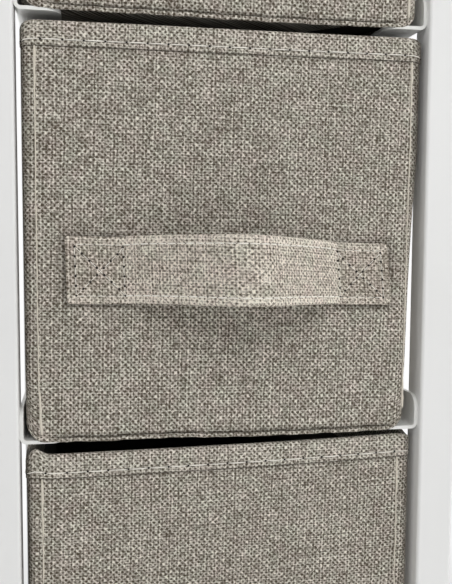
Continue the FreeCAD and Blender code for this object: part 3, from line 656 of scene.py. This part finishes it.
RIM_ROWS = [(HEIGHT - 0.8, -0.3, 0, 0), (HEIGHT - 0.15, 0.4, 0, 0), (HEIGHT, 1.5, 0, 0),
            (HEIGHT - 0.15, 2.6, 0, 0), (HEIGHT - 0.8, 3.3, 0, 0), (HEIGHT - 2, 3.6, 0, 0)]
INSIDE_ROWS = [(TURN_IN, LINING_INSET - 0.4, 0, 0), (TURN_IN - 0.4, LINING_INSET, 0, 0.8),
               (HEIGHT / 2, LINING_INSET, 0, 0), (6, LINING_INSET, 0, 0.2),
               (3, LINING_INSET + 0.2, 0, 0.6)]


def wall_hang(height):
    """How far the wall at this height follows the sag of its foot."""
    return np.clip(1 - np.asarray(height) / HANG_HEIGHT, 0, 1) ** 2


plain_heights = np.arange(FOOT_ROWS[-1][0] + WALL_STEP / 2, HEM_FOLD - WALL_STEP / 2, WALL_STEP)
PLAIN_ROWS = [(height, 0, float(wall_hang(height)), 0) for height in plain_heights]
ROWS = np.array(FOOT_ROWS + PLAIN_ROWS + HEM_ROWS + RIM_ROWS + INSIDE_ROWS)
FIRST_LINED = len(ROWS) - len(INSIDE_ROWS) + 1


def drawer_cover(level):
    """The sewn box of one drawer: outer cloth, turned-in rim, lining and floor."""
    habit = HABITS[level]
    x, y, out_x, out_y = COLUMNS[:-1, :4].T
    height, inset, hang, painted_shade = (column[:, None] for column in ROWS.T)
    row = np.arange(len(ROWS))[:, None]
    bound, outside = row < len(FOOT_ROWS), row < FIRST_LINED
    frontal = np.clip(-out_y, 0, 1) ** 2
    pull = strap_pull(level, x, height) * frontal * outside
    inset = inset + PULL_DEPTH * pull
    fray = np.sin(x / FRAY_STEP) * np.sin(x / FRAY_DRIFT + habit["phase"])
    ideal = np.stack([x - out_x * inset, y - out_y * inset, height + FRAY * fray * frontal * bound], -1)
    points = settle(ideal, habit, hang * frontal)
    points[..., 2] += UNDERSIDES[level]
    climb = np.hypot(np.diff(ROWS[:, 0]), np.diff(ROWS[:, 1]))
    along = np.concatenate([[0], np.cumsum(climb)])
    start = CUT_APART * LEVELS.index(level)
    around, climbed = COLUMNS[:, 4] + start, along[:, None] + start
    weave = np.stack([around - GRAIN_TILT * climbed, climbed + GRAIN_TILT * around], -1)
    # Painted shade in the groove above the bound edge and round the strap's sewn ends
    groove = np.clip((HALF_WIDTH - GROOVE_END - np.abs(x)) / GROOVE_FADE, 0, 1)
    groove *= GROOVE_SHADE + GROOVE_VARIES * fray
    painted_shade = np.maximum(painted_shade * np.where(bound, groove, 1), PULL_SHADE * pull)
    # Painted shade on the front edges, where they turn into the gap beside the posts
    post_shaded = habit["post_shade_left"] * ease((-out_x - POST_SHADE_START) / (1 - POST_SHADE_START)) * ease(height / POST_SHADE_FADE)
    post_shaded += habit["post_shade_right"] * ease(out_x / POST_SHADE_FULL) * ease((height - HEIGHT / 2) / POST_SHADE_FADE)
    post_shaded *= ease((FRONT + CORNER + POST_SHADE_DEPTH - y) / POST_SHADE_DEPTH)
    painted_shade = np.maximum(painted_shade, post_shaded * outside)
    hemmed = HEM_STRETCH * ((height > HEM_FOLD) & outside)
    row_material = (row[:-1, 0] >= FIRST_LINED).astype(int)
    return sewn_shell(f"{level}_drawer_cloth", points, weave, {"painted_shade": painted_shade, "stretch_and_highlight": hemmed},
                      [drawer_cloth, lining_fleece], row_material)


covers = {level: drawer_cover(level) for level in LEVELS}
for level, cover in covers.items():
    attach(cover, f"{level}_drawer")
    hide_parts(*(f"{level}_drawer_{part}" for part in (
        "cover", "lining", "front_board", "back_board", "left_board", "right_board")))
print("drawer covers:", {level: len(cover.data.polygons) for level, cover in covers.items()})

# %% [markdown]
# ## Loose base board
# The floor of the drawer is a stiff board wrapped in the lining fleece. It drops in from above and
# keeps the cloth square. It follows the settled walls, so it is made anew here as a thin slab with
# eased edges.

# %% Base boards
BOARD_INSET = 5
BOARD_ROWS = [(2.1, 1.2), (2.1, 0.4), (2.5, 0), (4.6, 0), (5.0, 0.4), (5.0, 1.2)]


def base_board(level):
    """The wrapped board on the drawer's floor."""
    x, y, out_x, out_y = COLUMNS[:-1, :4].T
    height, inset = (column[:, None] for column in np.array(BOARD_ROWS).T)
    inset = inset + BOARD_INSET
    ideal = np.stack([x - out_x * inset, y - out_y * inset, height + 0 * x], -1)
    points = settle(ideal, HABITS[level])
    points[..., 2] += UNDERSIDES[level]
    weave = np.stack(np.broadcast_arrays(COLUMNS[:, 4], height + 0 * COLUMNS[:, 4]), -1)
    return sewn_shell(f"{level}_drawer_floor", points, weave, {}, [lining_fleece],
                      np.zeros(len(BOARD_ROWS) - 1, int))


for level in LEVELS:
    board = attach(base_board(level), f"{level}_drawer")
    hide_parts(f"{level}_drawer_base_board")
print("base boards:", len(LEVELS))

# %% [markdown]
# ## Thread
# A stitch is a short piece of thread that comes up through one hole and goes down the next, so it is
# drawn as a thin tube that arches over the cloth and dives at both ends. Between two stitches lies the
# hole, a darker, sunken tube. A texture could hint at stitches, but as geometry they catch the light.

# %% Thread builder
THREAD_SIDES = 6
THREAD_ARCH = np.array([-0.15, 0.22, 0.28, 0.22, -0.15])
HOLE_SINK = np.array([-0.4, -0.12, -0.12, -0.4])
HOLE_ROOM = 1.6
END_TAPER = 0.55
UPRIGHT_SHARE = 0.7
PULLED_TIGHT = 0.35
TIGHT_STEP = 1.3


def tubes(name, lines, materials):
    """One mesh of many thin tubes. A line is (points in mm, radius or radii, material number)."""
    vertices, faces, of_face = [], [], []
    angles = 2 * np.pi * np.arange(THREAD_SIDES) / THREAD_SIDES
    for points, radius, material in lines:
        way = np.gradient(points, axis=0)
        way /= np.linalg.norm(way, axis=1)[:, None]
        run = points[-1] - points[0]
        upright = abs(run[2]) > UPRIGHT_SHARE * np.linalg.norm(run)
        aside = np.cross(way, (1, 0, 0) if upright else (0, 0, 1))
        aside /= np.linalg.norm(aside, axis=1)[:, None]
        upward = np.cross(aside, way)
        width = radius * np.ones(len(points))
        width[[0, -1]] *= END_TAPER
        ring = np.cos(angles)[:, None] * aside[:, None] + np.sin(angles)[:, None] * upward[:, None]
        first = len(vertices)
        vertices += (points[:, None] + width[:, None, None] * ring).reshape(-1, 3).tolist()
        index = first + np.arange(len(points) * THREAD_SIDES).reshape(len(points), THREAD_SIDES)
        after = np.roll(index, -1, axis=1)
        made = np.stack([index[:-1], index[1:], after[1:], after[:-1]], -1).reshape(-1, 4).tolist()
        made += [index[0].tolist(), index[-1][::-1].tolist()]
        faces += made
        of_face += [material] * len(made)
    mesh = bpy.data.meshes.new(name)
    mesh.from_pydata((np.array(vertices) * MM).tolist(), [], faces)
    dress(mesh, materials, of_face)
    return new_object(name, mesh)


def stitches(surface, start, end, pitch, thread, hole):
    """Stitches and needle holes along a straight line on a surface(along, across, lift)."""
    start, end = np.array(start, float), np.array(end, float)
    count = max(1, round(np.linalg.norm(end - start) / pitch))
    gap = HOLE_ROOM * hole / pitch
    lines = []
    for i in range(count):
        share = np.linspace(i + gap / 2, i + 1 - gap / 2, len(THREAD_ARCH))[:, None] / count
        a, b = (start + (end - start) * share).T
        slack = 1 - PULLED_TIGHT * math.sin(TIGHT_STEP * i) ** 2
        lines.append((surface(a, b, THREAD_ARCH * slack), thread * slack, 0))
    for i in range(count + 1):
        share = (np.linspace(i - gap / 2, i + gap / 2, len(HOLE_SINK))[:, None] / count).clip(0, 1)
        a, b = (start + (end - start) * share).T
        lines.append((surface(a, b, HOLE_SINK), hole, 1))
    return lines


print("a stitch stands", THREAD_ARCH.max(), "mm proud and its hole is", -HOLE_SINK.min(), "mm deep")

# %% [markdown]
# ## Hem stitches and upright seams
# The hem is held by one row of long stitches right round the drawer. At each front and rear edge the
# panels meet in a folded seam, a pale ridge as thick as a thread of yarn, which runs from the bound
# edge up to the hem.

# %% Hem stitches and seams
HEM_PITCH = 9.3
HEM_THREAD = 0.3
HEM_HOLE = 0.5
SEAM_RADIUS = 0.3
SEAM_POINTS = 64
SEAM_FOOT = 3.4
SEAM_STOP = 0.3
SEAM_LIFT = 0.1
SEAM_WANDER = 0.15
SEAM_TURN = 0.9
SEAM_GATHER = 30
GATHER_AT_HEM = 0.7
GATHER_SWELL = 0.5
WANDER_SWELL = 0.6


def wall_surface(level):
    """Where a drawer's outer cloth lies: a function of the distance round it, height and lift."""
    def surface(distance, height, lift):
        distance = np.asarray(distance) % GIRTH
        x, y, out_x, out_y = (np.interp(distance, COLUMNS[:, 4], COLUMNS[:, k]) for k in range(4))
        proud = lift - np.where(height > HEM_FOLD, HEM_INSET, 0)
        ideal = np.stack([x + out_x * proud, y + out_y * proud, height + 0 * x], -1)
        points = settle(ideal, HABITS[level], wall_hang(height) * np.clip(-out_y, 0, 1) ** 2)
        points[:, 2] += UNDERSIDES[level]
        return points
    return surface


def distance_at(x, y):
    """How far round the drawer the column nearest to a point is."""
    return COLUMNS[np.argmin(np.hypot(COLUMNS[:, 0] - x, COLUMNS[:, 1] - y)), 4]


SEAM_DISTANCES = [distance_at(x, y) for x in (-FLAT_X, FLAT_X) for y in (FRONT, BACK)]
SEAM_INWARD = [1, -1, -1, 1]
for level in LEVELS:
    surface = wall_surface(level)
    hem = stitches(surface, (0, HEM_SEAM), (GIRTH, HEM_SEAM), HEM_PITCH, HEM_THREAD, HEM_HOLE)
    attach(tubes(f"{level}_hem_stitches", hem, [sewing_thread, needle_hole]), f"{level}_drawer")
    heights = np.linspace(SEAM_FOOT, HEM_FOLD - SEAM_STOP, SEAM_POINTS)
    uneven = random.Random(level)
    seams = []
    at_foot = ease(1 - heights / SEAM_GATHER)
    gather = at_foot + GATHER_AT_HEM * ease(1 - (HEM_FOLD - heights) / SEAM_GATHER)
    habit = HABITS[level]
    shifts = [(habit["seam_left"], SEAM_TURN), (0, SEAM_TURN), (habit["seam_right"], habit["seam_turn"]),
              (0, SEAM_TURN)]
    for distance, inward, (shift, turn) in zip(SEAM_DISTANCES, SEAM_INWARD, shifts):
        wander = np.array([uneven.uniform(-SEAM_WANDER, SEAM_WANDER) for height in heights])
        path = surface(distance + wander + inward * (shift + turn * at_foot), heights, SEAM_LIFT + wander)
        seams.append((path, SEAM_RADIUS + GATHER_SWELL * gather + WANDER_SWELL * wander, 0))
    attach(tubes(f"{level}_upright_seams", seams, [seam_edge]), f"{level}_drawer")
print("upright seams at", [round(d) for d in SEAM_DISTANCES], "mm round the drawer")

# %% [markdown]
# ## Strap handle
# The handle is a folded length of the same cloth, sewn flat at both ends and bowed between them so that
# a hand fits behind. Each end has a sewn square with a cross, and a row of stitches runs along
# both edges. It is built as loops round its section that follow the bow, so its turned edges are
# round and its sewn lines are drawn in.

# %% Shape of the strap
STRAP_THICK = 2.2
STRAP_CROWN = 15
STRAP_FOOT = 6
STRAP_CORNER = 2
STRAP_ROUND = 1.1
STRAP_LIFT = 2.4
STRAP_SPREAD = 0.02
SWELL_CURVE = 0.6
EDGE_SEAM = 3.7
EDGE_PINCH, EDGE_PINCH_REACH = 0.35, 0.7
PATH_STEP = 0.1
BOW = STRAP_PROUD - STRAP_THICK


def strap_path():
    """The strap's back seen from above, from its middle to its right end: distance, x and stand-off."""
    low = BOW - STRAP_CROWN
    lean = 1 - (STRAP_CROWN / FREE_HALF) ** 2
    peak = (low + math.sqrt(low ** 2 - lean * (low ** 2 - STRAP_CROWN ** 2))) / lean
    slope = math.atan2(peak, FREE_HALF)
    crown, foot = STRAP_CROWN * slope, (STRAP_FOOT + STRAP_THICK) * slope
    bends = STRAP_CROWN + STRAP_FOOT + STRAP_THICK
    flank = (BOW - bends * (1 - math.cos(slope))) / math.sin(slope)
    run = bends * math.sin(slope) + flank * math.cos(slope)
    length = crown + flank + foot + STRAP_HALF - run
    distance = np.arange(0, length + PATH_STEP, PATH_STEP)
    angle = slope * (np.clip(distance / crown, 0, 1) - np.clip((distance - crown - flank) / foot, 0, 1))
    x = np.concatenate([[0], np.cumsum(np.cos(angle[:-1]) * PATH_STEP)])
    stand_off = BOW - np.concatenate([[0], np.cumsum(np.sin(angle[:-1]) * PATH_STEP)])
    return distance, x, np.maximum(stand_off, 0)


PATH_DISTANCE, PATH_X, PATH_BOW = strap_path()
PATH_SLOPE = np.gradient(PATH_BOW, PATH_X)
PATH_HALF = float(np.interp(STRAP_HALF, PATH_X, PATH_DISTANCE))


def strap_half(along):
    """Half the strap's height, round at the corners of its ends."""
    corner = STRAP_CORNER - np.clip(PATH_HALF - np.abs(along), 0, STRAP_CORNER)
    return STRAP_TALL / 2 - STRAP_CORNER + np.sqrt(STRAP_CORNER ** 2 - corner ** 2)


def strap_plump(along, across):
    """0 at the strap's turned edges to 1 on its faces."""
    to_edge = np.minimum(strap_half(along) - np.abs(across), PATH_HALF - np.abs(along))
    return np.sqrt(1 - np.clip(1 - to_edge / STRAP_ROUND, 0, 1) ** 2)


def strap_face(along, across):
    """Depth of the outer face: full between the rows of stitches, drawn in along them."""
    to_edge = strap_half(along) - np.abs(across)
    pinch = EDGE_PINCH * np.exp(-((to_edge - EDGE_SEAM) / EDGE_PINCH_REACH) ** 2)
    return STRAP_THICK * (1 + strap_plump(along, across)) / 2 - pinch


def strap_surface(level):
    """Where a strap's outer face lies: a function of the way along it, across it, and lift or depth."""
    hang = HANGS[level]

    def surface(along, across, lift, depth=None):
        along, across = np.broadcast_arrays(np.asarray(along, float), np.asarray(across, float))
        outward = lift + (strap_face(along, across) if depth is None else depth)
        path_x, bow, slope = (np.interp(np.abs(along), PATH_DISTANCE, values)
                              for values in (PATH_X, PATH_BOW, PATH_SLOPE))
        path_x, slope = path_x * np.sign(along), slope * np.sign(along)
        tilt = path_x / (2 * STRAP_HALF)
        left, right = hang["shear_left"], hang["shear_right"]
        shear = (left + right) / 2 + (right - left) * tilt
        steep = np.sqrt(1 + slope ** 2)
        x = path_x + hang["shift"] + hang["fold"] * bow / BOW
        x = x - shear * across / STRAP_TALL - outward * slope / steep
        high = (bow / BOW) ** SWELL_CURVE
        z = across * (1 - 2 * hang["taper"] * tilt / STRAP_TALL + STRAP_SPREAD * high)
        z = STRAP_RISE + STRAP_LIFT * high + (z + hang["tilt"] * tilt)
        points = settle(np.stack([x, FRONT - bow - outward / steep, z], -1), HABITS[level])
        points[..., 0] = x
        points[..., 2] += UNDERSIDES[level]
        return points
    return surface


print("strap", round(2 * PATH_HALF, 1), "mm long along its bends, slope",
      round(math.degrees(math.atan(-PATH_SLOPE.min())), 1), "degrees")

# %% Strap mesh
ALONG_STEPS = 220
SEWN_END = 26.3
FACE_STEPS = 40
BACK_STEPS = 14
NEAR_END = np.array([0.02, 0.15, 0.4, 0.8, 1.3])
STRAP_CUT, STRAPS_APART = 205, 260
FREE_STRETCH, FREE_FADE = 0.75, 4
EDGE_STRETCH_AND_HIGHLIGHT, EDGE_FADE = 0.85, 1.5


def strap(level):
    """One strap, as loops round its section from its left end to its right end."""
    surface = strap_surface(level)
    reach = PATH_HALF - STRAP_CORNER
    along = np.concatenate([-PATH_HALF + NEAR_END, np.linspace(-reach, reach, ALONG_STEPS),
                            (PATH_HALF - NEAR_END)[::-1]])
    half = strap_half(along)[:, None]
    down = np.cos(np.linspace(0, np.pi, FACE_STEPS)) * 0.5 + np.linspace(1, -1, FACE_STEPS) * 0.5
    back = np.linspace(-1, 1, BACK_STEPS + 2)[1:-1]
    across = np.concatenate([down, back]) * half
    on_face = np.arange(across.shape[1]) < FACE_STEPS
    depth = np.where(on_face, strap_face(along[:, None], across),
                     STRAP_THICK * (1 - strap_plump(along[:, None], across)) / 2)
    points = surface(along[:, None], across, 0, depth)
    laid = np.concatenate([across, across[:, :1] - 2 * half], axis=1)
    start = STRAP_CUT + STRAPS_APART * LEVELS.index(level)
    weave = np.stack([along[:, None] - GRAIN_TILT * laid, laid + GRAIN_TILT * along[:, None]], -1) + start
    free = ease((PATH_HALF - SEWN_END - np.abs(along)) / FREE_FADE + 0.5)[:, None]
    # The turned edges are painted paler: a painted highlight, as from light falling on them
    on_edge = ease((EDGE_SEAM - half + np.abs(across)) / EDGE_FADE + 0.5) * on_face
    stretch_and_highlight = FREE_STRETCH * free + EDGE_STRETCH_AND_HIGHLIGHT * on_edge
    return sewn_shell(f"{level}_strap_handle", points, weave, {"stretch_and_highlight": stretch_and_highlight}, [strap_cloth],
                      np.zeros(len(along) - 1, int))


for level in LEVELS:
    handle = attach(strap(level), f"{level}_drawer")
    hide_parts(f"{level}_drawer_handle")
print("straps:", len(LEVELS))

# %% [markdown]
# ## Stitching on the strap
# The two long rows hold the turned edges. The square and its cross take the pull of the hand, and their
# holes are larger, because several layers of cloth are drawn together there.

# %% Strap stitches
STRAP_PITCH = 4.65
EDGE_THREAD = 0.4
EDGE_HOLE = 0.3
SQUARE_THREAD = 0.2
SQUARE_HOLE = 0.58
SQUARE_OUT = PATH_HALF - 4.2
SQUARE_IN = PATH_HALF - SEWN_END
SQUARE_TOP = STRAP_TALL / 2 - 4.6
SQUARE_FOOT = STRAP_TALL / 2 - 3.8


def strap_stitches(level):
    """Edge rows and the two sewn squares of one strap."""
    surface = strap_surface(level)
    edge = STRAP_TALL / 2 - EDGE_SEAM
    lines = []

    def sew(start, end, thread, hole):
        """One row of stitches on this strap."""
        lines.extend(stitches(surface, start, end, STRAP_PITCH, thread, hole))

    for across in (edge, -edge):
        sew((-SQUARE_IN, across), (SQUARE_IN, across), EDGE_THREAD, EDGE_HOLE)
    for side in (-1, 1):
        outer, inner = side * SQUARE_OUT, side * SQUARE_IN
        for across in (edge, -edge):
            sew((outer, across), (inner, across), SQUARE_THREAD, EDGE_HOLE)
        corners = [(outer, SQUARE_TOP), (inner, SQUARE_TOP), (inner, -SQUARE_FOOT), (outer, -SQUARE_FOOT)]
        for i, j in ((0, 3), (1, 2), (0, 2), (1, 3)):
            sew(corners[i], corners[j], SQUARE_THREAD, SQUARE_HOLE)
    return tubes(f"{level}_strap_stitches", lines, [sewing_thread, needle_hole])


for level in LEVELS:
    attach(strap_stitches(level), f"{level}_drawer")
print("strap stitches sewn")

# %% [markdown]
# ## Floor and light
# A pale floor and a white surround stand for a small studio. A wide soft box in front, above the dresser,
# lays the strap's shadow straight below it and shines into the gaps beside the drawers. A weak one near
# the floor opens the lower part, one on each side the sides, the right one stronger, and one behind the
# back. The world is white to the camera and in reflections, and dimmer as a light, so that the paint
# keeps its tone.

# %% Floor
FLOOR_HALF = 6
FADE_START, FADE_END = 0.4, 1.2
CLOUD_SIZE = 2 / 3
FLOOR_ROUGHNESS = 0.7


def studio_floor(name):
    """Matt pale floor paint, faintly cloudy, that fades to white away from the dresser."""
    material, tree, shader = new_material(name)
    place = add_node(tree, "TexCoord").outputs["Object"]
    cloud = on_object(tree, "TexNoise", CLOUD_SIZE, Detail=3)["Fac"]
    set_inputs(tree, shader, {"Base Color": blend(tree, cloud, "F4F4F3", "EEEEED"),
                              "Roughness": FLOOR_ROUGHNESS})
    away = add_node(tree, "VectorMath", {0: place}, operation="LENGTH")
    faded = add_node(tree, "MapRange", {"Value": away.outputs["Value"], "From Min": FADE_START,
                                        "From Max": FADE_END}, interpolation_type="SMOOTHSTEP")
    seen = add_node(tree, "LightPath").outputs["Is Camera Ray"]
    share = add_node(tree, "Math", {0: faded.outputs["Result"], 1: seen}, operation="MULTIPLY")
    glow = add_node(tree, "Emission", {"Color": linear("FFFFFF"), "Strength": 1})
    mixed = add_node(tree, "MixShader", {0: share.outputs[0], 1: shader.outputs[0], 2: glow.outputs[0]})
    set_inputs(tree, tree.nodes["Material Output"], {"Surface": mixed.outputs[0]})
    return material


floor_mesh = bpy.data.meshes.new("floor")
floor_corners = [(x * FLOOR_HALF, y * FLOOR_HALF, 0) for x, y in ((-1, -1), (1, -1), (1, 1), (-1, 1))]
floor_mesh.from_pydata(floor_corners, [], [(0, 1, 2, 3)])
floor_mesh.materials.append(studio_floor("pale_floor_paint"))
floor = new_object("floor", floor_mesh)
print("floor", 2 * FLOOR_HALF, "m wide")

# %% World and lamps
AMBIENT = 0.24
world = bpy.data.worlds.new("studio")
bpy.context.scene.world = world
world.use_nodes = True
sky = world.node_tree
sky.nodes.clear()
rays = add_node(sky, "LightPath")
seen = add_node(sky, "Math", {0: rays.outputs["Is Camera Ray"], 1: rays.outputs["Is Glossy Ray"]},
                operation="ADD")
seen = add_node(sky, "Math", {0: seen.outputs[0], 1: rays.outputs["Is Transmission Ray"]},
                operation="ADD", use_clamp=True)
light = add_node(sky, "Background", {"Color": linear("FFFFFF"), "Strength": AMBIENT})
white = add_node(sky, "Background", {"Color": linear("FFFFFF"), "Strength": 1})
both = add_node(sky, "MixShader", {0: seen.outputs[0], 1: light.outputs[0], 2: white.outputs[0]})
add_node(sky, "OutputWorld", {"Surface": both.outputs[0]})

AIM = Vector((0, -0.15, 0.5))


def soft_lamp(name, place, width, height, watts):
    """A soft box at a place, turned to the front of the dresser."""
    lamp = new_object(name, bpy.data.lights.new(name, "AREA"))
    lamp.data.shape = "RECTANGLE"
    lamp.data.size, lamp.data.size_y = width, height
    lamp.data.energy = watts
    lamp.location = place
    lamp.visible_camera = False
    lamp.rotation_euler = (AIM - Vector(place)).to_track_quat("-Z", "Y").to_euler()


soft_lamp("key_soft_box", (0.0, -1.5, 1.65), 2.0, 0.7, 15.0)
soft_lamp("low_soft_box", (0.2, -1.6, 0.3), 2.0, 0.6, 1.8)
soft_lamp("right_soft_box", (1.5, -0.85, 0.6), 1.2, 1.2, 11)
soft_lamp("left_soft_box", (-1.9, -0.8, 0.75), 1.4, 1.4, 6)
soft_lamp("rear_soft_box", (0, 1.9, 0.8), 1.8, 1.8, 22)
bpy.context.scene.view_settings.view_transform = "Standard"
